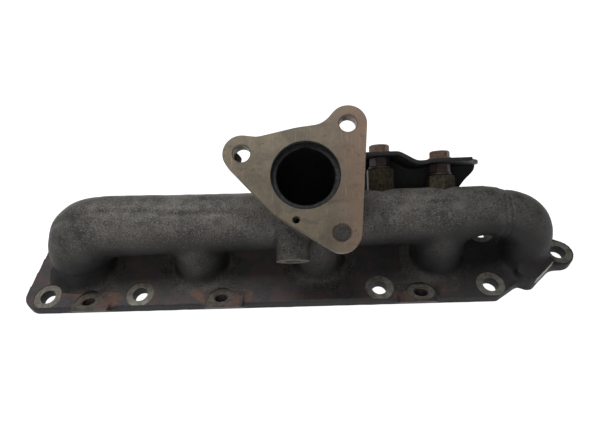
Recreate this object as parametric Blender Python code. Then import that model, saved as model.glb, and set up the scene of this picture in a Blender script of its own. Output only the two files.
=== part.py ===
"""Exhaust manifold of a four-cylinder engine, modelled as an assembly of its sections and fixings.

Metres, +Z up. The gasket face lies on z = 0, the four ports stand along X with y = 0 on their
centre line, and the origin is on the gasket face midway between ports 2 and 3.
"""
import math

import bmesh
import bpy
from mathutils import Matrix, Vector

MM = 0.001

# ---- driving dimensions ---------------------------------------------------------------------
GAP = 0.3 * MM                      # air left between neighbouring solids
PORT_PITCH = 92.0 * MM              # cylinder spacing
PORT_RADIUS = 17.0 * MM             # bore of each port and runner
PORT_X = [PORT_PITCH * (i - 1.5) for i in range(4)]

PLATE_THICK = 9.0 * MM
NEAR_EDGE = -35.4 * MM
FAR_EDGE = 36.0 * MM
EAR_CENTRE = (233.6 * MM, 1.8 * MM)
EAR_RADIUS = 11.8 * MM
STUD_HOLE_RADIUS = 5.7 * MM
NEAR_ROW_Y = -25.6 * MM
FAR_ROW_Y = 24.0 * MM
NEAR_ROW_X = [-163.5 * MM, -91.5 * MM, 91.5 * MM, 174.5 * MM]
FAR_ROW_X = [-163.5 * MM, -91.5 * MM, 0.0, 91.5 * MM, 178.5 * MM]

LOG_Y = 12.0 * MM
LOG_Z = 46.0 * MM
LOG_LEFT_RADIUS = 23.0 * MM
LOG_RIGHT_RADIUS = 20.3 * MM
LOG_WALL = 5.5 * MM
LOG_END_X = 182.0 * MM
ELBOW_BEND = 27.0 * MM              # bend radius of the first runner into the log
RUNNER_RADIUS = 20.8 * MM
FOOT_FLARE = 1.2 * MM

OUTLET_CENTRE = Vector((39.6, -1.1, 107.4)) * MM     # middle of the outlet flange's face
OUTLET_TILT = math.radians(29.0)    # lean of the outlet face from +Z towards -Y
OUTLET_THICK = 10.0 * MM
OUTLET_BORE_RADIUS = 19.0 * MM
OUTLET_STEP_RADIUS = 21.8 * MM
OUTLET_STEP_DEPTH = 4.5 * MM
OUTLET_BOLT_RADIUS = 43.6 * MM      # bolt circle
OUTLET_BOLT_HOLE = 5.6 * MM
OUTLET_LOBE_RADIUS = 12.3 * MM
OUTLET_BODY_RADIUS = 32.0 * MM
OUTLET_BOLT_TURNS = (159.3, 49.5, -60.3)    # degrees around the bore: left, top and lower bolt
LOCATOR_RADIUS = 2.2 * MM           # small locating hole in the outlet flange
NECK_LOW_RADIUS = 20.8 * MM
NECK_TOP_RADIUS = 26.5 * MM
NECK_BORE_RADIUS = 16.0 * MM

SENSOR_END = Vector((28.1, -24.0, 44.2)) * MM
SENSOR_AXIS = Vector((0.0, -0.89, -0.456)).normalized()
SENSOR_RADIUS = 12.0 * MM
SENSOR_LENGTH = 34.0 * MM
SENSOR_HOLE_RADIUS = 4.2 * MM

SHIELD_X = [-128.5 * MM, -27.6 * MM, 121.0 * MM]
SHIELD_NAMES = ["shield_boss_left", "shield_boss_middle", "shield_boss_right"]
SHIELD_Y = -32.4 * MM
SHIELD_Z = 12.4 * MM
SHIELD_UNDERCUT = math.radians(24.7)    # how far the lug's front leans out over the near edge
SHIELD_TILT = math.radians(22.0)    # lean of the boss face from +Z towards +Y
SHIELD_RADIUS = 11.5 * MM
SHIELD_HOLE_RADIUS = 4.6 * MM

EGR_PORT = (205.0 * MM, 0.0)        # middle of the EGR port in the head flange
EGR_PORT_RADIUS = 11.5 * MM
EGR_ELBOW_RADIUS = 17.8 * MM
EGR_BEND = EGR_PORT[0] - LOG_END_X  # bend radius from the log's right end down to that port
LUG_TOP = 17.0 * MM
LUG_NEAR = (205.0 * MM, -28.0 * MM)     # the lug's machined side runs from here
LUG_FAR = (225.0 * MM, -10.3 * MM)      # to here

STACK_AXIS = Vector((0.0, 0.77, 0.64)).normalized()
LEAF_LEFT = 44.5 * MM               # underside of the bracket above the log axis, left and right
LEAF_RIGHT = 38.3 * MM
STACKS = {"left": (94.0 * MM, LEAF_LEFT), "right": (138.5 * MM, LEAF_RIGHT)}    # screw x, leaf
SHEET = 3.0 * MM                    # bracket sheet thickness
LEAF_FRONT = -13.0 * MM             # near edge of the bracket's leaf, from its screws
SKIRT_BEHIND = 24.5 * MM            # back of the bracket's skirt, behind its screws
HEX_WIDTH = 13.0 * MM               # across flats
SPACER_WIDTH = 18.5 * MM
SPACER_FOOT = 12.0 * MM             # how near the log's axis the spacers and taps start
SCREW_REACH = 17.5 * MM             # screw tip, from the log's axis
SCREW_RADIUS = 4.0 * MM
HEAD_HEIGHT = 6.0 * MM
HEAD_FLANGE_RADIUS = 8.6 * MM
NUT_HEIGHT = 6.2 * MM
WASHER_HEIGHT = 1.6 * MM
WASHER_RADIUS = 8.0 * MM


# ---- scene and materials --------------------------------------------------------------------
def clear_scene():
    for item in list(bpy.data.objects):
        bpy.data.objects.remove(item, do_unlink=True)


def new_collection(name):
    collection = bpy.data.collections.new(name)
    bpy.context.scene.collection.children.link(collection)
    return collection


def material(name, colour, roughness, metallic):
    made = bpy.data.materials.new(name)
    made.use_nodes = True
    shader = made.node_tree.nodes["Principled BSDF"]
    shader.inputs["Base Color"].default_value = (*colour, 1.0)
    shader.inputs["Roughness"].default_value = roughness
    shader.inputs["Metallic"].default_value = metallic
    return made


clear_scene()
PARTS = new_collection("exhaust_manifold")
CUTTERS = new_collection("cutters")
CAST = (0.085, 0.078, 0.070)
RUST = (0.115, 0.075, 0.058)


# ---- shapes ---------------------------------------------------------------------------------
def add_object(name, mesh, collection):
    made = bpy.data.objects.new(name, mesh)
    collection.objects.link(made)
    if collection is CUTTERS:
        made.hide_render = True
        made.display_type = "WIRE"
    return made


def finish(part, colour, roughness, metallic):
    part.data.materials.clear()
    part.data.materials.append(material(part.name + "_finish", colour, roughness, metallic))
    return part


def facing(origin, axis, side=None):
    """Frame at origin whose Z runs along axis and whose X lies as near to side as it can."""
    z = Vector(axis).normalized()
    reference = Vector(side) if side else (Vector((1, 0, 0)) if abs(z.x) < 0.9 else Vector((0, 1, 0)))
    x = (reference - z * reference.dot(z)).normalized()
    y = z.cross(x)
    frame = Matrix((x, y, z)).transposed().to_4x4()
    frame.translation = origin
    return frame


def smooth(mesh, angle=35.0):
    mesh.shade_smooth()
    mesh.set_sharp_from_angle(angle=math.radians(angle))


def rod(name, start, end, radius, collection, end_radius=None, sides=40):
    """Cylinder or cone from start to end."""
    start, end = Vector(start), Vector(end)
    span = end - start
    shape = bmesh.new()
    bmesh.ops.create_cone(
        shape, cap_ends=True, segments=sides, radius1=radius,
        radius2=radius if end_radius is None else end_radius, depth=span.length)
    mesh = bpy.data.meshes.new(name)
    bmesh.ops.transform(shape, matrix=facing((start + end) / 2, span), verts=shape.verts)
    shape.to_mesh(mesh)
    shape.free()
    smooth(mesh)
    return add_object(name, mesh, collection)


def block(name, frame, low, high, collection):
    """Box between two corners given in a frame of its own."""
    low, high = Vector(low), Vector(high)
    size = high - low
    shape = bmesh.new()
    bmesh.ops.create_cube(shape, size=1.0)
    place = frame @ Matrix.Translation((low + high) / 2) @ Matrix.Diagonal((*size, 1.0))
    bmesh.ops.transform(shape, matrix=place, verts=shape.verts)
    mesh = bpy.data.meshes.new(name)
    shape.to_mesh(mesh)
    shape.free()
    return add_object(name, mesh, collection)


def solid_from_curve(curve_object, collection):
    """Mesh copy of a curve, its caps welded, in place of the curve."""
    bpy.context.view_layer.update()
    name = curve_object.name
    graph = bpy.context.evaluated_depsgraph_get()
    mesh = bpy.data.meshes.new_from_object(curve_object.evaluated_get(graph))
    place = curve_object.matrix_world.copy()
    bpy.data.objects.remove(curve_object, do_unlink=True)
    shape = bmesh.new()
    shape.from_mesh(mesh)
    bmesh.ops.remove_doubles(shape, verts=shape.verts, dist=0.01 * MM)
    bmesh.ops.recalc_face_normals(shape, faces=shape.faces)
    if shape.calc_volume(signed=True) < 0:
        bmesh.ops.reverse_faces(shape, faces=shape.faces)
    shape.to_mesh(mesh)
    shape.free()
    mesh.materials.clear()
    smooth(mesh)
    made = add_object(name, mesh, collection)
    made.matrix_world = place
    return made


def tube(name, points, radii, collection, resolution=12):
    """Round bar along the points, its radius set at each of them."""
    curve = bpy.data.curves.new(name + "_line", "CURVE")
    curve.dimensions = "3D"
    curve.bevel_depth = MM
    curve.bevel_resolution = resolution
    curve.use_fill_caps = True
    spline = curve.splines.new("POLY")
    spline.points.add(len(points) - 1)
    for place, at, radius in zip(spline.points, points, radii):
        place.co = (*at, 1.0)
        place.radius = radius / MM
    line = bpy.data.objects.new(name, curve)
    collection.objects.link(line)
    return solid_from_curve(line, collection)


def slab(name, frame, outlines, low, high, collection):
    """Plate between two heights of its frame; the first outline is its rim, the rest are holes."""
    curve = bpy.data.curves.new(name + "_outline", "CURVE")
    curve.dimensions = "2D"
    curve.fill_mode = "BOTH"
    curve.extrude = (high - low) / 2
    for outline in outlines:
        spline = curve.splines.new("POLY")
        spline.points.add(len(outline) - 1)
        for place, (x, y) in zip(spline.points, outline):
            place.co = (x, y, 0.0, 1.0)
        spline.use_cyclic_u = True
    flat = bpy.data.objects.new(name, curve)
    collection.objects.link(flat)
    flat.matrix_world = frame @ Matrix.Translation((0, 0, (low + high) / 2))
    return solid_from_curve(flat, collection)


def boolean(part, operation, tool, solver):
    step = part.modifiers.new(operation.lower() + "_" + tool.name, "BOOLEAN")
    step.operation = operation
    step.object = tool
    step.solver = solver
    return part


def cut(part, *tools, solver="EXACT"):
    for tool in tools:
        boolean(part, "DIFFERENCE", tool, solver)
    return part


def join(part, *tools):
    """Union by the manifold solver: the exact one leaves seams on thin slanted shapes."""
    for tool in tools:
        boolean(part, "UNION", tool, "MANIFOLD")
    return part


# ---- outlines -------------------------------------------------------------------------------
def circle(centre, radius, sides=32):
    return [(centre[0] + radius * math.cos(math.tau * i / sides),
             centre[1] + radius * math.sin(math.tau * i / sides)) for i in range(sides)]


def rounded(corners, arc_step=15.0):
    """Closed outline through (x, y, radius) corners, each turned into an arc of its radius."""
    outline = []
    count = len(corners)
    for i, (x, y, radius) in enumerate(corners):
        here = Vector((x, y))
        back = (Vector(corners[i - 1][:2]) - here).normalized()
        ahead = (Vector(corners[(i + 1) % count][:2]) - here).normalized()
        half = back.angle(ahead) / 2
        reach = radius / math.tan(half)
        centre = here + (back + ahead).normalized() * radius / math.sin(half)
        first = here + back * reach - centre
        last = here + ahead * reach - centre
        turn = first.angle_signed(last)
        steps = max(1, round(abs(math.degrees(turn)) / arc_step))
        start = math.atan2(first.y, first.x)
        for k in range(steps + 1):
            a = start - turn * k / steps
            outline.append((centre.x + radius * math.cos(a), centre.y + radius * math.sin(a)))
    return outline


def hexagon(width, turn=0.0):
    """Hexagon of a width across flats, a corner at turn degrees."""
    reach = width / 2 / math.cos(math.pi / 6)
    return [polar(reach, turn + 60 * k) for k in range(6)]


def polar(radius, degrees):
    a = math.radians(degrees)
    return radius * math.cos(a), radius * math.sin(a)


def curve_through(knots, per_span=4):
    """Points along a smooth (Catmull-Rom) curve through the knots, which may be of any length."""
    points = []
    padded = [knots[0], *knots, knots[-1]]
    for i in range(1, len(padded) - 2):
        a, b, c, d = (Vector(p) for p in padded[i - 1:i + 3])
        for k in range(per_span):
            t = k / per_span
            points.append(0.5 * (2 * b + (c - a) * t + (2 * a - 5 * b + 4 * c - d) * t * t
                                 + (3 * b - a - 3 * c + d) * t ** 3))
    points.append(Vector(knots[-1]))
    return points


# ---- head flange ----------------------------------------------------------------------------
def stud_places():
    near = [(x, NEAR_ROW_Y) for x in NEAR_ROW_X]
    far = [(x, FAR_ROW_Y) for x in FAR_ROW_X]
    return near + far + [EAR_CENTRE]


def head_flange():
    """Flat plate against the cylinder head, with its ports and stud holes."""
    right = EAR_CENTRE[0] + EAR_RADIUS
    ear_low = EAR_CENTRE[1] - EAR_RADIUS
    ear_high = EAR_CENTRE[1] + 7.1 * MM
    rim = rounded([
        (-182.5 * MM, NEAR_EDGE, 12.0 * MM),
        (178.5 * MM, NEAR_EDGE, 3.0 * MM),
        (197.0 * MM, -23.4 * MM, 3.0 * MM),
        (*LUG_NEAR, 6.0 * MM),
        (*LUG_FAR, 2.0 * MM),
        (228.0 * MM, ear_low, 1.5 * MM),
        (right, ear_low, EAR_RADIUS),
        (right, ear_high, EAR_RADIUS),
        (194.0 * MM, FAR_EDGE, 8.0 * MM),
        (-177.0 * MM, FAR_EDGE, 10.0 * MM),
    ])
    ports = [circle((x, 0), PORT_RADIUS) for x in PORT_X]
    egr_port = circle(EGR_PORT, EGR_PORT_RADIUS, 24)
    studs = [circle(place, STUD_HOLE_RADIUS, 20) for place in stud_places()]
    plate = slab("head_flange", Matrix.Identity(4), [rim, *ports, egr_port, *studs],
                 0, PLATE_THICK, PARTS)
    return finish(plate, RUST, 0.85, 0.35)


# ---- collector log --------------------------------------------------------------------------
def log_radius(x):
    left = PORT_X[0] + ELBOW_BEND
    share = (x - left) / (LOG_END_X - left)
    return LOG_LEFT_RADIUS + (LOG_RIGHT_RADIUS - LOG_LEFT_RADIUS) * min(1.0, share * 1.4)


def log_shape(name, extra, collection):
    """The log's outside, grown by extra; its right end is a rounded shoulder."""
    left = PORT_X[0] + ELBOW_BEND + GAP
    line = [(left, 0.0), (-20 * MM, 0.0), (80 * MM, 0.0), (LOG_END_X - 12 * MM, 0.0),
            (LOG_END_X - 6 * MM, 0.6 * MM), (LOG_END_X, 2.6 * MM)]
    points = [Vector((x, LOG_Y, LOG_Z)) for x, _ in line]
    return tube(name, points, [log_radius(x) - drop + extra for x, drop in line], collection)


def log_bore(name):
    left = PORT_X[0] + ELBOW_BEND - 3 * MM
    line = [(left, 0.0), (80 * MM, 0.0), (LOG_END_X - 22 * MM, 0.0), (LOG_END_X - 10 * MM, 3 * MM)]
    points = [Vector((x, LOG_Y, LOG_Z)) for x, _ in line]
    radii = [log_radius(x) - LOG_WALL - drop for x, drop in line]
    points.append(Vector((LOG_END_X + 2 * MM, LOG_Y, LOG_Z)))
    radii.append(radii[-1])
    return tube(name, points, radii, CUTTERS)


# ---- runners --------------------------------------------------------------------------------
RUNNER_RISE = Vector((0, LOG_Y, LOG_Z - PLATE_THICK))


def runner_line(port_x, start, bend=0.0, way=1.0, overrun=0.0):
    """Centre line from below the plate's top up to the log, or round a bend into its end."""
    along = RUNNER_RISE.normalized()
    full = RUNNER_RISE.length
    foot = Vector((port_x, 0, PLATE_THICK))
    heights = [start, 0.0, 4 * MM, 9 * MM]
    if not bend:
        return [foot + along * h for h in [*heights, full]]
    points = [foot + along * h for h in heights]
    steps = 9
    for k in range(steps + 1):
        a = math.pi / 2 * k / steps
        aside = Vector((way * bend * (1 - math.cos(a)), 0, 0))
        points.append(foot + along * (full - bend + bend * math.sin(a)) + aside)
    points.append(points[-1] + Vector((way * overrun, 0, 0)))
    return points


def flared(count, radius, goal, bulge=0.0):
    """Radii along a runner: flared at the foot, then easing from radius to goal over a bulge."""
    radii = [radius + FOOT_FLARE * share for share in (1.6, 1.0, 0.35, 0.0)]
    rest = count - len(radii)
    for k in range(1, rest + 1):
        t = k / rest
        radii.append(radius + (goal - radius) * t + bulge * math.sin(math.pi * min(1.0, t * 1.1)))
    return radii


def runner(number, port_x, log_room, plate_room):
    """One cast pipe from its port up to the log; the first turns into the log's left end."""
    name = "runner_%d" % number
    bend = ELBOW_BEND if number == 1 else 0.0
    outer = runner_line(port_x, -12 * MM, bend, 1.0, 3 * MM)
    if bend:
        radii = flared(len(outer), RUNNER_RADIUS + 0.7 * MM, LOG_LEFT_RADIUS, 2.6 * MM)
    else:
        radii = flared(len(outer), min(RUNNER_RADIUS, log_radius(port_x) - 0.8 * MM), RUNNER_RADIUS)
        radii[-1] = radii[-2]
    pipe = tube(name, outer, radii, PARTS)
    inner = runner_line(port_x, -14 * MM, bend, 1.0, 3 * MM)
    bore = tube(name + "_bore", inner, [PORT_RADIUS] * len(inner), CUTTERS, 10)
    if bend:
        joint_x = port_x + bend
        log_room = block(name + "_end", Matrix.Identity(4), (joint_x, -60 * MM, 0),
                         (joint_x + 20 * MM, 80 * MM, 120 * MM), CUTTERS)
    cut(pipe, plate_room, bore, log_room)
    finish(pipe, CAST, 0.75, 0.4)
    return bore


# ---- outlet ---------------------------------------------------------------------------------
OUTLET_AXIS = Vector((0, -math.sin(OUTLET_TILT), math.cos(OUTLET_TILT)))
OUTLET_FRAME = facing(OUTLET_CENTRE, OUTLET_AXIS, (1, 0, 0))


def outlet_bolts():
    return [polar(OUTLET_BOLT_RADIUS, turn) for turn in OUTLET_BOLT_TURNS]


def tangent(first, first_radius, second, second_radius):
    """Points where the outer left-hand tangent touches two circles, going from first to second."""
    first, second = Vector(first), Vector(second)
    span = second - first
    lean = math.asin((first_radius - second_radius) / span.length)
    away = math.atan2(span.y, span.x) - math.pi / 2 + lean
    push = Vector((math.cos(away), math.sin(away)))
    return first + push * first_radius, second + push * second_radius


def wrap(circles, arc_step=12.0):
    """Belt around circles (centre, radius) taken anticlockwise; a negative radius is a hollow."""
    outline = []
    count = len(circles)
    touches = [tangent(*circles[i], *circles[(i + 1) % count]) for i in range(count)]
    for i, (centre, radius) in enumerate(circles):
        arrive = touches[i - 1][1] - Vector(centre)
        leave = touches[i][0] - Vector(centre)
        start = math.atan2(arrive.y, arrive.x)
        sweep = (math.atan2(leave.y, leave.x) - start) % math.tau
        if radius < 0:
            sweep -= math.tau
        steps = max(1, round(math.degrees(sweep) / arc_step))
        for k in range(steps + 1):
            a = start + sweep * k / steps
            outline.append((centre[0] + abs(radius) * math.cos(a),
                            centre[1] + abs(radius) * math.sin(a)))
    return outline


def outlet_flange():
    """Three-bolt flange: lobes around the bolts, a round body, hollowed above beside two lobes."""
    left, top, lower_bolt = outlet_bolts()
    lobe = OUTLET_LOBE_RADIUS
    body = ((0, 0), OUTLET_BODY_RADIUS)
    rim = wrap([(left, lobe), body, (lower_bolt, lobe), (top, lobe),
                (polar(48.0 * MM, 84.3), -15.0 * MM), body, (polar(51.0 * MM, 127.4), -14.0 * MM)])
    holes = [circle(bolt, OUTLET_BOLT_HOLE, 24) for bolt in (left, top, lower_bolt)]
    flange = slab("outlet_flange", OUTLET_FRAME,
                 [rim, circle((0, 0), OUTLET_BORE_RADIUS), *holes], -OUTLET_THICK, 0, PARTS)
    step = rod("outlet_step", OUTLET_CENTRE - OUTLET_AXIS * OUTLET_STEP_DEPTH,
               OUTLET_CENTRE + OUTLET_AXIS * 2 * MM, OUTLET_STEP_RADIUS, CUTTERS, sides=48)
    pin = polar(29.7 * MM, -103.0)
    locator = rod("locating_hole", OUTLET_FRAME @ Vector((*pin, -12 * MM)),
                  OUTLET_FRAME @ Vector((*pin, 2 * MM)), LOCATOR_RADIUS, CUTTERS, sides=16)
    cut(flange, step, locator)
    return finish(flange, (0.30, 0.25, 0.20), 0.55, 0.7)


def neck_line():
    """Centre line from the log's axis, bending over to run square through the outlet flange."""
    under = OUTLET_CENTRE - OUTLET_AXIS * OUTLET_THICK
    x = OUTLET_CENTRE.x
    knots = [Vector((x, LOG_Y, LOG_Z)), Vector((x, LOG_Y + 0.3 * MM, 60 * MM)),
             Vector((x, LOG_Y - 0.7 * MM, 73 * MM)), Vector((x, LOG_Y - 3.1 * MM, 85 * MM)),
             under, OUTLET_CENTRE]
    return curve_through(knots, 3)


def outlet_neck(log_room):
    """Short throat between the log and the outlet flange."""
    line = neck_line()
    widen = (NECK_TOP_RADIUS - NECK_LOW_RADIUS) / (len(line) - 1)
    radii = [NECK_LOW_RADIUS + widen * k for k in range(len(line))]
    neck = tube("outlet_neck", line, radii, PARTS)
    room = tube("neck_room", line, [radius + GAP for radius in radii], CUTTERS)
    widen = OUTLET_BORE_RADIUS - NECK_BORE_RADIUS
    inner = [NECK_BORE_RADIUS + widen * min(1.0, k / (len(line) - 4)) for k in range(len(line))]
    bore = tube("neck_bore", line, inner, CUTTERS)
    beyond = block("neck_end", OUTLET_FRAME, (-60 * MM, -60 * MM, -OUTLET_THICK - GAP),
                   (60 * MM, 60 * MM, 60 * MM), CUTTERS)
    cut(neck, log_room, beyond, bore)
    finish(neck, CAST, 0.75, 0.4)
    return bore, room


def sensor_boss(log_room, neck_room):
    """Round boss under the outlet, with a tapped hole for the probe."""
    start = SENSOR_END - SENSOR_AXIS * SENSOR_LENGTH
    boss = rod("sensor_boss", start, SENSOR_END, SENSOR_RADIUS, PARTS)
    hole = rod("probe_hole", SENSOR_END - SENSOR_AXIS * 12 * MM, SENSOR_END + SENSOR_AXIS * 2 * MM,
               SENSOR_HOLE_RADIUS, CUTTERS, sides=20)
    cut(boss, log_room, neck_room, hole)
    return finish(boss, CAST, 0.8, 0.35)


# ---- EGR branch -----------------------------------------------------------------------------
def egr_elbow(plate_room):
    """Bent pipe from the log's right end down to the EGR port in the head flange."""
    port_x = EGR_PORT[0]
    outer = runner_line(port_x, -12 * MM, EGR_BEND, -1.0, 3 * MM)
    radii = flared(len(outer), EGR_ELBOW_RADIUS - 0.4 * MM, EGR_ELBOW_RADIUS - 0.2 * MM, 0.6 * MM)
    elbow = tube("egr_elbow", outer, radii, PARTS)
    inner = runner_line(port_x, -14 * MM, EGR_BEND, -1.0, 3 * MM)
    bore = tube("egr_bore", inner, [EGR_PORT_RADIUS] * len(inner), CUTTERS, 8)
    before = block("egr_before", Matrix.Identity(4),
                   (140 * MM, -40 * MM, 0), (LOG_END_X + GAP, 60 * MM, 90 * MM), CUTTERS)
    cut(elbow, plate_room, before, bore)
    finish(elbow, CAST, 0.75, 0.4)
    return tube("egr_room", outer, [r + GAP for r in radii], CUTTERS)


def side_lug(elbow_room):
    """Thickened corner beside the EGR port, its outer side machined flat."""
    rim = rounded([(192.0 * MM, -18.0 * MM, 3.0 * MM), (197.5 * MM, -24.0 * MM, 2.0 * MM),
                   (*LUG_NEAR, 6.0 * MM), (*LUG_FAR, 1.5 * MM),
                   (222.0 * MM, -6.0 * MM, 2.0 * MM), (205.0 * MM, -8.0 * MM, 2.0 * MM)])
    lug = slab("side_lug", Matrix.Identity(4), [rim], PLATE_THICK + GAP, LUG_TOP, PARTS)
    cut(lug, elbow_room)
    return finish(lug, RUST, 0.85, 0.3)


# ---- shield bosses --------------------------------------------------------------------------
def shield_boss(name, x):
    """Lug on the plate's near edge, its face leaning back, tapped for a heat-shield screw."""
    axis = Vector((0, math.sin(SHIELD_TILT), math.cos(SHIELD_TILT)))
    face = Vector((x, SHIELD_Y, SHIELD_Z))
    lug = rod(name, face - axis * 12 * MM, face, SHIELD_RADIUS + 0.3 * MM, PARTS, SHIELD_RADIUS, 32)
    below = block(name + "_below", Matrix.Identity(4),
                  (x - 30 * MM, -80 * MM, -20 * MM), (x + 30 * MM, 20 * MM, PLATE_THICK + GAP), CUTTERS)
    lean = Vector((0, -math.cos(SHIELD_UNDERCUT), -math.sin(SHIELD_UNDERCUT)))
    front = block(name + "_front", facing(Vector((x, NEAR_EDGE, 0)), lean, (1, 0, 0)),
                  (-30 * MM, -60 * MM, 0), (30 * MM, 60 * MM, 40 * MM), CUTTERS)
    hole = rod(name + "_hole", face - axis * 8 * MM, face + axis * 2 * MM,
               SHIELD_HOLE_RADIUS, CUTTERS, sides=20)
    cut(lug, below, front, hole)
    return finish(lug, (0.20, 0.18, 0.15), 0.7, 0.5)


# ---- bracket and its fixings ----------------------------------------------------------------
def stack_frame(x):
    """Frame on the log's axis whose Z runs out along a bracket screw."""
    return facing(Vector((x, LOG_Y, LOG_Z)), STACK_AXIS, (1, 0, 0))


def bracket():
    """Pressed sheet: a leaf over both screws, stepped between them, and a skirt behind."""
    frame = stack_frame(0)
    side = facing(frame.translation, frame.col[1].xyz, (1, 0, 0))
    dip = 37.2 * MM
    under = [(82 * MM, -LEAF_LEFT), (109 * MM, -LEAF_LEFT), (119 * MM, -dip), (125 * MM, -dip),
             (130 * MM, -LEAF_RIGHT), (159 * MM, -LEAF_RIGHT)]
    over = [(x, y - SHEET) for x, y in reversed(under)]
    leaf = slab("bracket", side, [under + over], LEAF_FRONT, SKIRT_BEHIND, PARTS)
    skirt_rim = rounded([(82.5 * MM, -45.5 * MM, 1 * MM), (109 * MM, -45 * MM, 3 * MM),
                         (119 * MM, -38 * MM, 5 * MM), (150 * MM, -40.3 * MM, 5 * MM),
                         (167 * MM, -45 * MM, 4 * MM), (173 * MM, -40 * MM, 3 * MM),
                         (171 * MM, -33 * MM, 3 * MM), (160 * MM, -28 * MM, 5 * MM),
                         (156.5 * MM, -8 * MM, 3 * MM), (82.5 * MM, -8 * MM, 3 * MM)])
    skirt = slab("bracket_skirt", side, [skirt_rim], SKIRT_BEHIND - SHEET + GAP,
                 SKIRT_BEHIND + GAP, CUTTERS)
    join(leaf, skirt)
    for name, (x, height) in STACKS.items():
        origin = stack_frame(x)
        hole = rod("bracket_hole_" + name, origin @ Vector((0, 0, height - SHEET)),
                   origin @ Vector((0, 0, height + 2 * SHEET)), SCREW_RADIUS + 0.4 * MM, CUTTERS,
                   sides=20)
        cut(leaf, hole, solver="MANIFOLD")
    return finish(leaf, (0.012, 0.012, 0.013), 0.6, 0.2)


def fixing(name, x, under, log_room):
    """Screw, nut, washer and hexagonal spacer that hold one end of the bracket to the log."""
    frame = stack_frame(x)
    bore = circle((0, 0), SCREW_RADIUS + GAP, 20)
    nut_top = under - GAP
    nut_low = nut_top - NUT_HEIGHT
    washer_top = nut_low - GAP
    washer_low = washer_top - WASHER_HEIGHT
    nut = slab("bracket_nut_" + name, frame, [hexagon(HEX_WIDTH), bore], nut_low, nut_top, PARTS)
    finish(nut, (0.10, 0.055, 0.05), 0.6, 0.6)
    washer = slab("bracket_washer_" + name, frame, [circle((0, 0), WASHER_RADIUS, 28), bore],
                  washer_low, washer_top, PARTS)
    finish(washer, (0.08, 0.06, 0.05), 0.6, 0.6)
    spacer = slab("bracket_spacer_" + name, frame, [hexagon(SPACER_WIDTH, 30), bore],
                  SPACER_FOOT, washer_low - GAP, PARTS)
    cut(spacer, log_room)
    finish(spacer, (0.33, 0.27, 0.13), 0.5, 0.6)
    seat = under + SHEET + GAP
    screw = slab("bracket_bolt_" + name, frame, [circle((0, 0), HEAD_FLANGE_RADIUS, 28)],
                 seat, seat + 1.4 * MM, PARTS)
    head = slab("hex_head_" + name, frame, [hexagon(HEX_WIDTH)], seat + 1 * MM,
                seat + HEAD_HEIGHT, CUTTERS)
    shank = slab("shank_" + name, frame, [circle((0, 0), SCREW_RADIUS, 20)],
                 SCREW_REACH, seat + 0.6 * MM, CUTTERS)
    join(screw, head, shank)
    finish(screw, (0.14, 0.085, 0.06), 0.6, 0.5)
    return rod("log_tap_" + name, frame @ Vector((0, 0, SCREW_REACH - GAP)),
               frame @ Vector((0, 0, 30 * MM)), SCREW_RADIUS + GAP, CUTTERS, sides=20)


# ---- assembly -------------------------------------------------------------------------------
def build():
    log = log_shape("collector_log", 0.0, PARTS)
    log_room = log_shape("log_room", GAP, CUTTERS)
    plate_room = block("plate_room", Matrix.Identity(4), (-220 * MM, -80 * MM, -40 * MM),
                       (260 * MM, 80 * MM, PLATE_THICK + GAP), CUTTERS)
    cut(log, log_bore("log_bore"))
    for number, port_x in enumerate(PORT_X, 1):
        bore = runner(number, port_x, log_room, plate_room)
        if number > 1:
            cut(log, bore)
    neck_bore, neck_room = outlet_neck(log_room)
    cut(log, neck_bore)
    outlet_flange()
    sensor_boss(log_room, neck_room)
    side_lug(egr_elbow(plate_room))
    head_flange()
    for name, x in zip(SHIELD_NAMES, SHIELD_X):
        shield_boss(name, x)
    bracket()
    for name, (x, under) in STACKS.items():
        cut(log, fixing(name, x, under, log_room))
    finish(log, CAST, 0.75, 0.4)


build()
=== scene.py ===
"""Exhaust manifold: cast body, machined faces, pressed bracket and its screws, in metres."""
import math

import bmesh
import bpy
import numpy as np
from mathutils import Matrix, Vector, noise


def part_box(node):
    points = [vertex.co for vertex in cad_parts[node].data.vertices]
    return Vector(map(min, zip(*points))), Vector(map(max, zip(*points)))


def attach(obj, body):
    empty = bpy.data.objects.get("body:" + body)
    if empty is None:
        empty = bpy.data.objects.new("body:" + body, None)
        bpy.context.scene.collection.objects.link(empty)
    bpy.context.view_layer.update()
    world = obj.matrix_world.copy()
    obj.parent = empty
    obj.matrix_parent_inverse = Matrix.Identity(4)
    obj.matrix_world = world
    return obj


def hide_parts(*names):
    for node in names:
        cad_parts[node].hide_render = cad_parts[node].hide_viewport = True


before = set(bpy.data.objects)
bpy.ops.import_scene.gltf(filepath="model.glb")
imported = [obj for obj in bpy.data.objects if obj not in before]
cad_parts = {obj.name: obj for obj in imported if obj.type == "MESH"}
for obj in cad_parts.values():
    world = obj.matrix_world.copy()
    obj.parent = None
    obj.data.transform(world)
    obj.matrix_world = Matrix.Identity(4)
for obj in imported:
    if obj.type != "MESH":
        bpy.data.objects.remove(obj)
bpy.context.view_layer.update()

MM = 0.001

# ---- sizes ----------------------------------------------------------------------------------
PORT_X = [x * MM for x in (-138.0, -46.0, 46.0, 138.0)]
PORT_RADIUS = 17.0 * MM
PLATE_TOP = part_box("head_flange")[1].z
NEAR_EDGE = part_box("head_flange")[0].y
EAR_CENTRE = (233.6 * MM, 1.8 * MM)
EAR_RADIUS = 11.8 * MM
STUD_HOLE_RADIUS = 5.7 * MM
STUDS = [(x * MM, -25.6 * MM) for x in (-163.5, -91.5, 91.5, 174.5)]
STUDS += [(x * MM, 24.0 * MM) for x in (-163.5, -91.5, 0.0, 91.5, 178.5)]
STUDS.append(EAR_CENTRE)
SPOT_RADIUS = 10.6 * MM             # machined seat around a stud hole
SPOT_FLOOR = PLATE_TOP - 0.45 * MM

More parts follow.
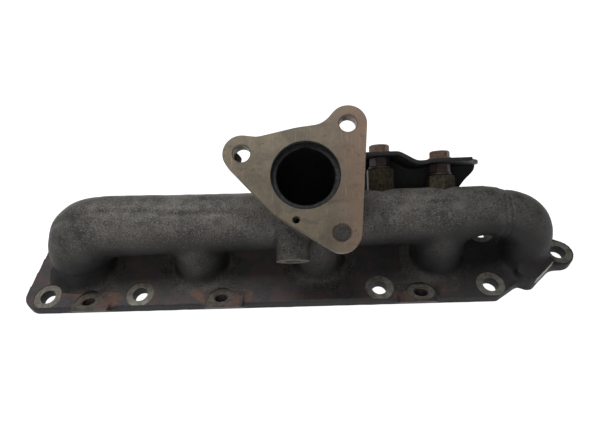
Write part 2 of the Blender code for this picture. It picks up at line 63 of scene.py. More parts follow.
LOG_AXIS = Vector((0.0, 12.0, 46.0)) * MM
LOG_LEFT_RADIUS = 23.0 * MM
LOG_RIGHT_RADIUS = 20.3 * MM
LOG_WALL = 5.5 * MM
LOG_LEFT_X = -111.0 * MM
LOG_END_X = 182.0 * MM
LOG_WAIST = 2.5 * MM                # how far the log narrows beyond the last runner
LOG_WAIST_X = 150.0 * MM
LOG_WAIST_RUN = 16.0 * MM
RUNNER_RADIUS = 20.8 * MM
LEFT_BEND = 27.0 * MM               # radius of the first runner's bend into the log
RISE = Vector((0.0, LOG_AXIS.y, LOG_AXIS.z - PLATE_TOP))

OUTLET_CENTRE = Vector((39.6, -1.1, 107.4)) * MM
OUTLET_TILT = math.radians(29.0)
OUTLET_AXIS = Vector((0.0, -math.sin(OUTLET_TILT), math.cos(OUTLET_TILT)))
OUTLET_THICK = 10.0 * MM
OUTLET_BORE = 19.0 * MM
OUTLET_STEP = 21.8 * MM
OUTLET_STEP_DEPTH = 4.5 * MM
OUTLET_LOBE = 12.3 * MM
OUTLET_BODY = 32.0 * MM
BOLT_CIRCLE = 43.6 * MM
BOLT_TURNS = (159.3, 49.5, -60.3)
BOLT_HOLE = 5.6 * MM

SENSOR_END = Vector((28.1, -24.0, 44.2)) * MM
SENSOR_AXIS = Vector((0.0, -0.89, -0.456)).normalized()
SENSOR_RADIUS = 12.0 * MM
SENSOR_HOLE = 4.2 * MM

SHIELDS = {"left": -128.5 * MM, "middle": -27.6 * MM, "right": 121.0 * MM}
SHIELD_TILT = math.radians(22.0)
SHIELD_AXIS = Vector((0.0, math.sin(SHIELD_TILT), math.cos(SHIELD_TILT)))
SHIELD_Y = -32.4 * MM
SHIELD_Z = 12.4 * MM
SHIELD_RADIUS = 11.5 * MM
SHIELD_HOLE = 4.6 * MM
SHIELD_SPOT = 9.9 * MM
SHIELD_UNDERCUT = math.radians(24.7)
MOUND_SHORT = 10.5 * MM             # how far a boss's mound reaches to its two sides
MOUND_LONG = 17.0 * MM

EGR_PORT_X = 205.0 * MM
EGR_RADIUS = 17.8 * MM
EGR_BORE = 11.5 * MM
EGR_BEND = EGR_PORT_X - LOG_END_X
LUG_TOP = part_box("side_lug")[1].z
LUG_NEAR = (205.0 * MM, -28.0 * MM)
LUG_FAR = (225.0 * MM, -10.3 * MM)

STACK_AXIS = Vector((0.0, 0.77, 0.64)).normalized()
STACKS = {"left": (94.0 * MM, 44.5 * MM), "right": (138.5 * MM, 38.3 * MM)}
SHEET = 3.0 * MM
HEX_WIDTH = 13.0 * MM
SPACER_WIDTH = 18.5 * MM
SCREW_RADIUS = 4.0 * MM
SCREW_PLAY = 0.3 * MM
SPACER_LOW = 12.0 * MM              # a spacer's foot, inside the log's outline, before it is cut

VOXEL = 1.0 * MM                    # grain of the cast body's mesh
GAP = 0.3 * MM                      # between pieces that touch
SEAM = GAP / 2
FAR = 300.0 * MM                    # past every side of the manifold
HAIR = 1e-6                         # keeps two rings of a flat step apart
SKIN = 0.15 * MM                    # how far from a bore's wall a face still belongs to it
CAST_ROOM = 1.2 * MM                # skin left round the log where its neighbours begin
X, Y, Z = 0, 1, 2


# ---- shapes ---------------------------------------------------------------------------------
def add(name, shape):
    """Object with the mesh of a bmesh, its faces turned outwards."""
    mesh = bpy.data.meshes.new(name)
    bmesh.ops.recalc_face_normals(shape, faces=shape.faces)
    shape.to_mesh(mesh)
    shape.free()
    made = bpy.data.objects.new(name, mesh)
    bpy.context.scene.collection.objects.link(made)
    return made


def drop(*things):
    for thing in things:
        bpy.data.objects.remove(thing, do_unlink=True)


def facing(origin, axis, side=(1, 0, 0)):
    """Frame at origin whose Z runs along axis and whose X lies as near to side as it can."""
    z = Vector(axis).normalized()
    reference = Vector(side) if abs(z.dot(Vector(side).normalized())) < 0.9 else Vector((0, 1, 0))
    x = (reference - z * reference.dot(z)).normalized()
    frame_ = Matrix((x, z.cross(x), z)).transposed().to_4x4()
    frame_.translation = origin
    return frame_


def pipe(name, points, radii, sides=64):
    """Closed round bar along points."""
    shape = bmesh.new()
    points = [Vector(p) for p in points]
    side = None
    rings = []
    for i, (at, radius) in enumerate(zip(points, radii)):
        ahead = points[min(i + 1, len(points) - 1)] - points[max(i - 1, 0)]
        ahead.normalize()
        if side is None:
            side = ahead.orthogonal()
        side = (side - ahead * side.dot(ahead)).normalized()
        up = ahead.cross(side)
        turns = [math.tau * k / sides for k in range(sides)]
        rings.append([shape.verts.new(at + (side * math.cos(a) + up * math.sin(a)) * radius)
                      for a in turns])
    skin_rings(shape, rings)
    return add(name, shape)


def skin_rings(shape, rings):
    """Quads between rings of vertices, and a face over each end."""
    count = len(rings[0])
    for low, high in zip(rings, rings[1:]):
        for k in range(count):
            shape.faces.new((low[k], low[(k + 1) % count], high[(k + 1) % count], high[k]))
    shape.faces.new(rings[0])
    shape.faces.new(rings[-1])


def turned(name, place, profile, sides=64):
    """Solid of (radius, height) profile turned about the Z of its frame."""
    shape = bmesh.new()
    rings = []
    for radius, height in profile:
        rings.append([shape.verts.new(place @ Vector((*polar(radius, 360 * k / sides), height)))
                      for k in range(sides)])
    skin_rings(shape, rings)
    return add(name, shape)


def rod(name, start, end, radius, sides=64):
    return pipe(name, [start, end], [radius, radius], sides)


def slab(name, place, outline, low, high, edge=0.0):
    """Plate from an outline, between two heights of its frame, its rims rounded by edge."""
    shape = bmesh.new()
    rings = [[shape.verts.new(place @ Vector((x, y, z))) for x, y in outline] for z in (low, high)]
    skin_rings(shape, rings)
    if edge:
        rims = [e for e in shape.edges
                if len(e.link_faces) == 2 and max(len(f.verts) for f in e.link_faces) > 4]
        bmesh.ops.bevel(shape, geom=rims, offset=edge, segments=3, profile=0.5, affect="EDGES")
    return add(name, shape)


def block(name, low, high, place=Matrix.Identity(4)):
    (x0, y0, z0), (x1, y1, z1) = low, high
    return slab(name, place, [(x0, y0), (x1, y0), (x1, y1), (x0, y1)], z0, z1)


def settle(thing):
    """Makes the modifiers part of the mesh."""
    graph = bpy.context.evaluated_depsgraph_get()
    mesh = bpy.data.meshes.new_from_object(thing.evaluated_get(graph))
    thing.modifiers.clear()
    thing.data = mesh
    return thing


def combine(thing, operation, tools):
    """Boolean of thing with each tool; the tools are used up."""
    for tool in tools:
        step = thing.modifiers.new(tool.name, "BOOLEAN")
        step.operation = operation
        step.object = tool
        step.solver = "MANIFOLD"
    settle(thing)
    drop(*tools)
    return thing


def cut(thing, *tools):
    return combine(thing, "DIFFERENCE", tools)


def copy_of(thing, name):
    made = thing.copy()
    made.data = thing.data.copy()
    made.name = name
    bpy.context.scene.collection.objects.link(made)
    return made


# ---- outlines and lines ---------------------------------------------------------------------
def polar(radius, degrees):
    a = math.radians(degrees)
    return radius * math.cos(a), radius * math.sin(a)


def rounded(corners, arc_step=10.0):
    """Closed outline through (x, y, radius) corners, each turned into an arc of its radius."""
    outline = []
    for i, (x, y, radius) in enumerate(corners):
        here = Vector((x, y))
        back = (Vector(corners[i - 1][:2]) - here).normalized()
        ahead = (Vector(corners[(i + 1) % len(corners)][:2]) - here).normalized()
        half = back.angle(ahead) / 2
        reach = radius / math.tan(half)
        centre = here + (back + ahead).normalized() * radius / math.sin(half)
        first = here + back * reach - centre
        last = here + ahead * reach - centre
        turn = first.angle_signed(last)
        steps = max(1, round(abs(math.degrees(turn)) / arc_step))
        start = math.atan2(first.y, first.x)
        for k in range(steps + 1):
            a = start - turn * k / steps
            outline.append((centre.x + radius * math.cos(a), centre.y + radius * math.sin(a)))
    return outline


def hexagon(width, turn=0.0):
    reach = width / 2 / math.cos(math.pi / 6)
    return [polar(reach, turn + 60 * k) for k in range(6)]


def tangent(first, first_radius, second, second_radius):
    """Points where a belt leaves the first circle and meets the second."""
    first, second = Vector(first), Vector(second)
    span = second - first
    lean = math.asin((first_radius - second_radius) / span.length)
    away = math.atan2(span.y, span.x) - math.pi / 2 + lean
    push = Vector((math.cos(away), math.sin(away)))
    return first + push * first_radius, second + push * second_radius


def wrap(circles, arc_step=6.0):
    """Belt around circles (centre, radius) taken anticlockwise; a negative radius is a hollow."""
    outline = []
    count = len(circles)
    touches = [tangent(*circles[i], *circles[(i + 1) % count]) for i in range(count)]
    for i, (centre, radius) in enumerate(circles):
        arrive = touches[i - 1][1] - Vector(centre)
        leave = touches[i][0] - Vector(centre)
        start = math.atan2(arrive.y, arrive.x)
        sweep = (math.atan2(leave.y, leave.x) - start) % math.tau
        if radius < 0:
            sweep -= math.tau
        steps = max(1, round(abs(math.degrees(sweep)) / arc_step))
        for k in range(steps + 1):
            a = start + sweep * k / steps
            outline.append((centre[0] + abs(radius) * math.cos(a),
                            centre[1] + abs(radius) * math.sin(a)))
    return outline


def curve_through(knots, per_span=6):
    """Points along a smooth (Catmull-Rom) curve through the knots."""
    points = []
    padded = [knots[0], *knots, knots[-1]]
    for i in range(1, len(padded) - 2):
        a, b, c, d = (Vector(p) for p in padded[i - 1:i + 3])
        for k in range(per_span):
            t = k / per_span
            points.append(0.5 * (2 * b + (c - a) * t + (2 * a - 5 * b + 4 * c - d) * t * t
                                 + (3 * b - a - 3 * c + d) * t ** 3))
    points.append(Vector(knots[-1]))
    return points


def runner_line(port_x, start, bend=0.0, way=1.0, overrun=0.0):
    """Centre line from a port up to the log, or round a bend into one of its ends."""
    along = RISE.normalized()
    full = RISE.length
    foot = Vector((port_x, 0, PLATE_TOP))
    heights = [start, 0.0, 4 * MM, 9 * MM]
    points = [foot + along * h for h in heights]
    if not bend:
        return [*points, foot + along * full]
    steps = 16
    for k in range(steps + 1):
        a = math.pi / 2 * k / steps
        aside = Vector((way * bend * (1 - math.cos(a)), 0, 0))
        points.append(foot + along * (full - bend + bend * math.sin(a)) + aside)
    points.append(points[-1] + Vector((way * overrun, 0, 0)))
    return points


def neck_line():
    """Centre line of the throat, from the log's axis to the outlet."""
    under = OUTLET_CENTRE - OUTLET_AXIS * OUTLET_THICK
    x = OUTLET_CENTRE.x
    y = LOG_AXIS.y
    knots = [Vector((x, y, LOG_AXIS.z)), Vector((x, y + 0.3 * MM, 60 * MM)),
             Vector((x, y - 0.7 * MM, 73 * MM)), Vector((x, y - 3.1 * MM, 85 * MM)),
             under, OUTLET_CENTRE]
    return curve_through(knots)


def log_radius(x):
    share = (x - LOG_LEFT_X) / (LOG_END_X - LOG_LEFT_X)
    return LOG_LEFT_RADIUS + (LOG_RIGHT_RADIUS - LOG_LEFT_RADIUS) * min(1.0, share * 1.4)


def log_at(x):
    """Centre and radius of the log; beyond the last runner it narrows from below."""
    waist = LOG_WAIST * float(np.clip((x - LOG_WAIST_X) / LOG_WAIST_RUN, 0, 1))
    return LOG_AXIS + Vector((x, 0, 0)) + STACK_AXIS * waist, log_radius(x) - waist


# ---- cast body ------------------------------------------------------------------------------
OUTLET_FRAME = facing(OUTLET_CENTRE, OUTLET_AXIS)
BOLTS = [polar(BOLT_CIRCLE, turn) for turn in BOLT_TURNS]


def plate_outline():
    right = EAR_CENTRE[0] + EAR_RADIUS
    ear_low = EAR_CENTRE[1] - EAR_RADIUS
    far_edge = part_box("head_flange")[1].y
    return rounded([
        (-182.5 * MM, NEAR_EDGE, 12.0 * MM), (178.5 * MM, NEAR_EDGE, 3.0 * MM),
        (197.0 * MM, -23.4 * MM, 3.0 * MM), (*LUG_NEAR, 6.0 * MM), (*LUG_FAR, 2.0 * MM),
        (228.0 * MM, ear_low, 1.5 * MM), (right, ear_low, EAR_RADIUS),
        (right, EAR_CENTRE[1] + 7.1 * MM, EAR_RADIUS), (194.0 * MM, far_edge, 8.0 * MM),
        (-177.0 * MM, far_edge, 10.0 * MM)])


def flange_outline():
    body = ((0, 0), OUTLET_BODY)
    left, top, lower = BOLTS
    return wrap([(left, OUTLET_LOBE), body, (lower, OUTLET_LOBE), (top, OUTLET_LOBE),
                 (polar(48.0 * MM, 84.3), -15.0 * MM), body, (polar(51.0 * MM, 127.4), -14.0 * MM)])


def elbow_radii(points, radius, goal, bulge):
    """Radii along a bend: flared at its foot, fuller half-way and goal at its end."""
    radii = [radius + share * MM for share in (1.0, 0.6, 0.2, 0.0)]
    rest = len(points) - len(radii)
    for k in range(1, rest + 1):
        t = k / rest
        radii.append(radius + (goal - radius) * t + bulge * math.sin(math.pi * min(1.0, 0.12 + t)))
    return radii


def rough_body():
    """Overlapping solids of the whole casting, before they are made one skin."""
    below = -3 * MM
    parts = [slab("plate", Matrix.Identity(4), plate_outline(), below, PLATE_TOP)]
    sunk, overrun = -6 * MM, 6 * MM
    line = runner_line(PORT_X[0], sunk, LEFT_BEND, 1.0, overrun)
    radii = elbow_radii(line, RUNNER_RADIUS + 0.7 * MM, LOG_LEFT_RADIUS, 3.4 * MM)
    parts.append(pipe("runner", line, radii))
    for port_x in PORT_X[1:]:
        line = runner_line(port_x, sunk)
        radius = min(RUNNER_RADIUS, log_radius(port_x) - 0.8 * MM)
        parts.append(pipe("runner", line, [radius] * len(line)))
    ends = [(x * MM, 0) for x in (LOG_LEFT_X / MM - 2, -20, 80, 148, 154, 160, 168)]
    ends += [(LOG_END_X - 6 * MM, 0.2 * MM), (LOG_END_X - 2 * MM, 0.9 * MM), (LOG_END_X, 1.8 * MM)]
    parts.append(pipe("log", [log_at(x)[0] for x, _ in ends],
                      [log_at(x)[1] - shoulder for x, shoulder in ends]))
    line = neck_line()
    widths = np.linspace(20.8 * MM, 26.5 * MM, len(line))
    parts.append(pipe("neck", line, [float(width) for width in widths]))
    parts.append(slab("under_flange", OUTLET_FRAME, flange_outline(), -OUTLET_THICK, -2 * MM))
    parts.append(rod("sensor", SENSOR_END - SENSOR_AXIS * 34 * MM, SENSOR_END + SENSOR_AXIS * 2 * MM,
                     SENSOR_RADIUS))
    line = runner_line(EGR_PORT_X, sunk, EGR_BEND, -1.0, overrun)
    parts.append(pipe("elbow", line, elbow_radii(line, EGR_RADIUS - 0.4 * MM, EGR_RADIUS - 0.2 * MM,
                                                 0.6 * MM)))
    parts.append(slab("lug", Matrix.Identity(4), rounded([
        (192 * MM, -18 * MM, 3 * MM), (197.5 * MM, -24 * MM, 2 * MM), (*LUG_NEAR, 6 * MM),
        (*LUG_FAR, 1.5 * MM), (222 * MM, -6 * MM, 2 * MM), (205 * MM, -8 * MM, 2 * MM)]),
        below, LUG_TOP))
    for side, x in SHIELDS.items():
        face = Vector((x, SHIELD_Y, SHIELD_Z))
        parts.append(pipe("shield", [face - SHIELD_AXIS * 12 * MM, face + SHIELD_AXIS * 0.7 * MM],
                          [SHIELD_RADIUS + 0.6 * MM, SHIELD_RADIUS]))
        way = -1 if side == "right" else 1
        low, high = sorted((-way * MOUND_SHORT, way * MOUND_LONG))
        parts.append(block("mound", (low, -11.2 * MM, -9 * MM), (high, 8 * MM, -0.9 * MM),
                           facing(face, SHIELD_AXIS)))
    return parts


def one_skin(parts):
    """Joins overlapping solids and remeshes them into one even skin."""
    shape = bmesh.new()
    for part in parts:
        shape.from_mesh(part.data)
    drop(*parts)
    body = add("body", shape)
    step = body.modifiers.new("skin", "REMESH")
    step.mode = "VOXEL"
    step.voxel_size = VOXEL
    return settle(body)


def read(mesh, what, count, size=3, kind=np.float64):
    values = np.empty(count * size, kind)
    mesh.foreach_get(what, values)
    return values.reshape(-1, size) if size > 1 else values


def relax(body, rounds, rate, only_hollows):
    """Laplacian smoothing; only_hollows fills inside corners and leaves outside ones alone."""
    mesh = body.data
    count = len(mesh.vertices)
    co = read(mesh.vertices, "co", count)
    edges = read(mesh.edges, "vertices", len(mesh.edges), 2, np.int32)
    ends = np.concatenate([edges[:, 0], edges[:, 1]])
    others = np.concatenate([edges[:, 1], edges[:, 0]])
    degree = np.bincount(ends, minlength=count)[:, None]
    for turn in range(rounds):
        pull = np.stack([np.bincount(ends, co[others, k], count) for k in range(3)], 1) / degree - co
        if only_hollows:
            if turn % 6 == 0:
                mesh.vertices.foreach_set("co", co.ravel())
                mesh.update()
                normals = read(mesh.vertex_normals, "vector", count)
            rise = np.maximum((pull * normals).sum(1), 0.0)
            pull = normals * rise[:, None]
        co = co + pull * rate
    mesh.vertices.foreach_set("co", co.ravel())
    mesh.update()


def ramp(values, low, high):
    """0 below low, 1 above high, smooth between; low may lie above high."""
    t = np.clip((values - low) / (high - low), 0.0, 1.0)
    return t * t * (3 - 2 * t)


def parting_ledge(x, y, z):
    """Step of the mould's parting line along the crown of the log and round its left bend."""
    axis_y = LOG_AXIS.y * np.clip((z - PLATE_TOP) / (LOG_AXIS.z - PLATE_TOP), 0, 1)
    line = np.interp(x / MM, (-76, -64, 10, 75), (-4.7, -7.5, -7.5, -3.6)) * MM
    across = y - axis_y - line
    crown = ramp(across, -1.8 * MM, 2.2 * MM) * ramp(across, 24 * MM, 14 * MM)
    groove = np.exp(-(across / (2.6 * MM)) ** 2)
    along = np.interp(x / MM, (-20, 4, 76, 92, 168, 176), (1, 0, 0, 1, 1, 0))
    outside = ramp(z + np.maximum(-132 * MM - x, 0) * 3, LOG_AXIS.z + 2 * MM, LOG_AXIS.z + 12 * MM)
    return (1.1 * MM * crown - 0.8 * MM * groove) * along * outside * ramp(z, 18 * MM, 30 * MM)


def collar(x, y, z):
    """Two fine grooves round the joint of the log and the right-hand elbow."""
    near = ramp(z, 26 * MM, 31 * MM)
    lines = sum(np.exp(-((x - at * MM) / (0.9 * MM)) ** 2) for at in (180.6, 184.4))
    return -0.55 * MM * lines * near


def uneven(body, depth, size):
    """Small swells and dips of a sand casting, its parting ledge and its collar."""
    mesh = body.data
    count = len(mesh.vertices)
    co = read(mesh.vertices, "co", count)
    normals = read(mesh.vertex_normals, "vector", count)
    swell = np.array([noise.noise(Vector(place) / size) for place in co]) * depth
    swell += parting_ledge(*co.T) + collar(*co.T)
    co += normals * swell[:, None]
    mesh.vertices.foreach_set("co", co.ravel())
    mesh.update()


def bores():
    """Gas passages, as (name, line, radii)."""
    made = []
    below = -16 * MM
    lines = [runner_line(PORT_X[0], below, LEFT_BEND, 1.0, 4 * MM)]
    lines += [runner_line(port_x, below) for port_x in PORT_X[1:]]
    for number, line in enumerate(lines):
        made.append(("bore_%d" % number, line, [PORT_RADIUS] * len(line)))
    xs = [LOG_LEFT_X - 2 * MM, 80 * MM, 146 * MM, 160 * MM, LOG_END_X - 8 * MM]
    made.append(("log_bore", [log_at(x)[0] for x in xs],
                 [log_at(x)[1] - LOG_WALL - shrink for x, shrink in zip(xs, (0, 0, 0, 0, 1 * MM))]))
    line = neck_line()
    made.append(("neck_bore", line, [(16 + 3 * min(1.0, k / (len(line) - 7))) * MM
                                     for k in range(len(line))]))
    line = runner_line(EGR_PORT_X, below, EGR_BEND, -1.0, 14 * MM)
    made.append(("egr_bore", line, [EGR_BORE] * len(line)))
    return made


def lug_region():
    """What belongs to the side lug, above the plate."""
    return slab("lug_region", Matrix.Identity(4), [
        (188 * MM, -15.5 * MM), (188 * MM, -40 * MM), (240 * MM, -40 * MM), (240 * MM, -3 * MM),
        (221 * MM, -9.5 * MM)], PLATE_TOP + 0.1 * MM, LUG_TOP + 4 * MM)


def log_room(extra):
    """Room that the log takes up, and extra round it."""
    xs = [x * MM for x in (-130, -20, 80, 190)]
    return pipe("log_room", [LOG_AXIS + Vector((x, 0, 0)) for x in xs],
                [log_radius(max(x, LOG_LEFT_X)) + extra for x in xs])


def machine(body):
    """Cuts passages, holes and machined faces into the cast body."""
    tools = [block("gasket_face", (-FAR, -FAR, -20 * MM), (FAR, FAR, 0))]
    tools.append(block("flange_side", (-60 * MM, -60 * MM, -OUTLET_THICK - 0.35 * MM),
                       (60 * MM, 60 * MM, 40 * MM), OUTLET_FRAME))
    tools += [pipe(*bore) for bore in bores()]
    for x, y in STUDS:
        tools.append(turned("stud_hole", Matrix.Translation((x, y, 0)), [
            (STUD_HOLE_RADIUS + 0.8 * MM, -0.4 * MM), (STUD_HOLE_RADIUS, 0.4 * MM),
            (STUD_HOLE_RADIUS, SPOT_FLOOR), (SPOT_RADIUS, SPOT_FLOOR + HAIR),
            (SPOT_RADIUS, SPOT_FLOOR + 3.5 * MM)]))
    reach = 24 * MM
    for x in SHIELDS.values():
        face = facing(Vector((x, SHIELD_Y, SHIELD_Z)), SHIELD_AXIS)
        tools.append(turned("shield_hole", face, [
            (SHIELD_HOLE, -9 * MM), (SHIELD_HOLE, -1 * MM), (SHIELD_HOLE + 1 * MM, 0),
            (SHIELD_SPOT, HAIR), (SHIELD_SPOT, 6 * MM)]))
        lean = Vector((0, -math.cos(SHIELD_UNDERCUT), -math.sin(SHIELD_UNDERCUT)))
        front = facing(Vector((x, NEAR_EDGE, 0)), lean)
        tools.append(block("shield_front", (-reach, -30 * MM, 0), (reach, 30 * MM, 30 * MM), front))
    sensor = facing(SENSOR_END, SENSOR_AXIS)
    tools.append(block("sensor_face", (-20 * MM, -20 * MM, 0), (20 * MM, 20 * MM, 9 * MM), sensor))
    tools.append(turned("sensor_hole", sensor, [
        (SENSOR_HOLE, -12 * MM), (SENSOR_HOLE, -1.2 * MM), (SENSOR_HOLE + 1.2 * MM, 0),
        (SENSOR_HOLE + 1.2 * MM, 1 * MM)]))
    return cut(body, *tools)


def divide(body):
    """Parts the casting into the sections the frame names, along clean joint faces."""
    regions = [("head_flange", block("region", (-FAR, -FAR, -9 * MM), (FAR, FAR, PLATE_TOP + SEAM)))]
    regions.append(("side_lug", lug_region()))
    regions.append(("egr_elbow", block("region", (LOG_END_X + SEAM, -FAR, 0), (FAR, FAR, FAR))))
    for side, x in SHIELDS.items():
        face = facing(Vector((x, SHIELD_Y, SHIELD_Z)), SHIELD_AXIS)
        regions.append(("shield_boss_" + side, block(
            "region", (-24 * MM, -30 * MM, -20 * MM), (24 * MM, 9.2 * MM, 1.2 * MM), face)))
    regions.append(("runner_1", block("region", (-FAR, -FAR, 0), (LOG_LEFT_X + SEAM, FAR, FAR))))
    regions.append(("sensor_boss", rod("region", SENSOR_END - SENSOR_AXIS * 15 * MM,
                                       SENSOR_END + SENSOR_AXIS * 5 * MM, SENSOR_RADIUS + 0.8 * MM)))
    high = block("region", (0, -50 * MM, 50 * MM), (80 * MM, 60 * MM, 130 * MM))
    regions.append(("outlet_neck", cut(high, log_room(CAST_ROOM))))
    for number in (2, 3, 4):
        x = PORT_X[number - 1]
        low = block("region", (x - 34 * MM, -30 * MM, 0), (x + 34 * MM, 50 * MM, LOG_AXIS.z))
        regions.append(("runner_%d" % number, cut(low, log_room(CAST_ROOM))))
    pieces = {}
    for name, region in regions:
        piece = copy_of(body, name + "_cast")
        combine(piece, "INTERSECT", [copy_of(region, "keep")])
        cut(body, region)
        pieces[name] = piece
    body.name = "collector_log_cast"
    pieces["collector_log"] = body
    return pieces


# ---- finishes -------------------------------------------------------------------------------
class Level:
    """A value that varies over a surface; sums and products of levels add Math nodes."""

    def __init__(self, finish, socket):
        self.finish = finish
        self.socket = socket

    def sum(self, operation, first, second):
        return self.finish.node("ShaderNodeMath", {"operation": operation}, {0: first, 1: second})

    def __add__(self, other):
        return self.sum("ADD", self, other)

    def __sub__(self, other):
        return self.sum("SUBTRACT", self, other)

    def __rsub__(self, other):
        return self.sum("SUBTRACT", other, self)

    def __mul__(self, other):
        return self.sum("MULTIPLY", self, other)

    __radd__ = __add__
    __rmul__ = __mul__

    def least(self, other):
        return self.sum("MINIMUM", self, other)

class Finish:
    """A material built up from noises, masks and colours."""

    def __init__(self, name, metallic=0.0, specular=0.5):
        self.material = bpy.data.materials.new(name)
        self.material.use_nodes = True
        self.tree = self.material.node_tree
        self.shader = self.tree.nodes["Principled BSDF"]
        self.shader.inputs["Metallic"].default_value = metallic
        self.shader.inputs["Specular IOR Level"].default_value = specular
        self.place = self.node("ShaderNodeTexCoord", output="Object")

    def node(self, kind, settings=None, sockets=None, output=0):
        made = self.tree.nodes.new(kind)
        for key, value in (settings or {}).items():
            setattr(made, key, value)
        for key, value in (sockets or {}).items():
            self.feed(made.inputs[key], value)
        return Level(self, made.outputs[output])

    def feed(self, socket, value):
        if isinstance(value, Level):
            self.tree.links.new(value.socket, socket)
        else:
            socket.default_value = value

    def noise(self, size, detail, roughness, stretch=None, shift=0.0):
        """Cloudy noise with features of about size; shift picks another pattern."""
        place = self.place
        if stretch:
            place = self.node("ShaderNodeMapping", None, {"Vector": place, "Scale": stretch})
        return self.node("ShaderNodeTexNoise", {"noise_dimensions": "4D"}, {
            "Vector": place, "W": shift, "Scale": 1.0 / size, "Detail": detail,
            "Roughness": roughness})

    def mask(self, value, low, high):
        """0 where value is at low, 1 where it is at high, smooth between."""
        return self.node("ShaderNodeMapRange", {"interpolation_type": "SMOOTHSTEP"}, {
            "Value": value, "From Min": low, "From Max": high})

    def blend(self, share, first, second):
        """Share of the second colour laid over the first."""
        ends = {0: share, 6: colour(first), 7: colour(second)}
        return self.node("ShaderNodeMix", {"data_type": "RGBA"}, ends, 2)

    def along(self, axis):
        """Metres along X, Y or Z of the manifold."""
        return self.node("ShaderNodeSeparateXYZ", None, {0: self.place}, axis)

    def facing_up(self):
        normal = self.node("ShaderNodeNewGeometry", output="Normal")
        return self.node("ShaderNodeSeparateXYZ", None, {0: normal}, Z)

    def bump(self, height, depth, strength):
        return self.node("ShaderNodeBump", None, {
            "Height": height, "Distance": depth, "Strength": strength})

    def set(self, **sockets):
        """Feeds the shader and gives the finished material."""
        for key, value in sockets.items():
            self.feed(self.shader.inputs[key.replace("_", " ")], value)
        return self.material


def colour(value):
    return value if isinstance(value, Level) else (*value, 1.0)


def cast_iron():
    """Sandy cast skin: dark warm grey, lighter on top from wear and a painted top highlight, rusty in
    patches, with painted shade low down, underneath and towards both ends, and patches of grime.
    """
    f = Finish("cast_iron_skin", metallic=0.1, specular=0.28)
    clouds = f.mask(f.noise(26 * MM, 4, 0.6), 0.38, 0.62)
    sand = f.noise(1.1 * MM, 2, 0.6)
    grit = f.noise(0.45 * MM, 2, 0.7, shift=3.0)
    shade = f.blend(clouds, (0.046, 0.043, 0.039), (0.092, 0.086, 0.077))
    up = f.facing_up()
    # lighter on faces that look up, in patches: partly wear, partly a painted top highlight
    wear_and_top_light = f.mask(up, 0.05, 0.95) * f.mask(f.noise(9 * MM, 4, 0.7, shift=2.0), 0.36, 0.66)
    shade = f.blend(wear_and_top_light * 0.5, shade, (0.185, 0.178, 0.162))
    rust = f.mask(f.noise(15 * MM, 5, 0.7, shift=5.0), 0.55, 0.72)
    low = f.mask(f.along(Z), 45 * MM, 8 * MM)
    shade = f.blend(rust * 0.3 + low * rust * 0.3, shade, (0.075, 0.046, 0.036))
    shade = f.blend(f.mask(sand, 0.54, 0.68) * 0.8, shade, (0.215, 0.202, 0.18))
    shade = f.blend(f.mask(sand, 0.46, 0.32) * 0.85, shade, (0.014, 0.012, 0.011))
    # painted shade: darker on faces that look down or sideways, low down, towards the right end and at
    # the far left end; the last noise adds patches of real grime
    painted_shade_and_grime = f.mask(up, 0.72, -0.15) * 0.8 + f.mask(f.along(Z), 44 * MM, 14 * MM) * 0.4
    painted_shade_and_grime += f.mask(f.along(X), 70 * MM, 220 * MM) * 0.5
    painted_shade_and_grime += f.mask(f.along(X), -105 * MM, -160 * MM) * 0.42
    painted_shade_and_grime += f.mask(f.noise(7 * MM, 4, 0.7, shift=11.0), 0.6, 0.72) * 0.3
    shade = f.blend(painted_shade_and_grime.least(0.9), shade, (0.007, 0.007, 0.008))
    height = sand * 0.6 + grit * 0.4 + f.noise(5 * MM, 3, 0.5, shift=8.0) * 0.8
    return f.set(Base_Color=shade, Roughness=f.mask(sand, 0.2, 0.8) * 0.25 + 0.45,
                 Normal=f.bump(height, 0.35 * MM, 0.9))


def rusty_plate(name, bloom):
    """Dark grey casting under reddish-brown rust, with painted shade towards the right and on faces that
    do not look up; bloom from 0 to 1 adds more rust.
    """
    f = Finish(name, metallic=0.05, specular=0.25)
    rust = f.mask(f.noise(13 * MM, 5, 0.7), 0.42, 0.62)
    fine = f.noise(1.6 * MM, 3, 0.65, shift=4.0)
    shade = f.blend(rust, (0.052, 0.053, 0.057), (0.084, 0.062, 0.057))
    flakes = f.mask(f.noise(4 * MM, 4, 0.75, shift=7.0), 0.55, 0.68)
    shade = f.blend(rust * bloom, shade, (0.15, 0.085, 0.060))
    near = f.mask(f.along(Y), -18 * MM, -36 * MM)
    shade = f.blend(flakes * 0.5 * near, shade, (0.15, 0.085, 0.06))
    shade = f.blend(f.mask(fine, 0.58, 0.74) * 0.5, shade, (0.15, 0.125, 0.11))
    shade = f.blend(f.mask(fine, 0.44, 0.26) * 0.7, shade, (0.010, 0.009, 0.009))
    # painted shade: darker towards the right
    shade = f.blend(f.mask(f.along(X), 30 * MM, 170 * MM) * 0.7, shade, (0.007, 0.006, 0.007))
    # painted shade: darker on faces that do not look up
    shade = f.blend(f.mask(f.facing_up(), 0.6, 0.1) * 0.9, shade, (0.007, 0.007, 0.009))
    height = fine * 0.7 + f.noise(0.6 * MM, 2, 0.7, shift=1.0) * 0.3 + flakes * 0.35
    return f.set(Base_Color=shade, Roughness=f.mask(fine, 0.2, 0.8) * 0.2 + 0.55,
                 Normal=f.bump(height, 0.4 * MM, 0.9))


def machined_seat():
    """Spot-faces and boss faces: dull grey with a beige-green bloom."""
    f = Finish("machined_seat", metallic=0.45)
    stain = f.mask(f.noise(4 * MM, 4, 0.7), 0.4, 0.62)
    shade = f.blend(stain, (0.17, 0.165, 0.14), (0.10, 0.092, 0.074))
    shade = f.blend(f.mask(f.noise(1.5 * MM, 3, 0.7, shift=2.0), 0.56, 0.7) * 0.7, shade,
                    (0.06, 0.040, 0.030))
    return f.set(Base_Color=shade, Roughness=0.45,
                 Normal=f.bump(f.noise(0.8 * MM, 3, 0.6, shift=5.0), 0.12 * MM, 0.6))


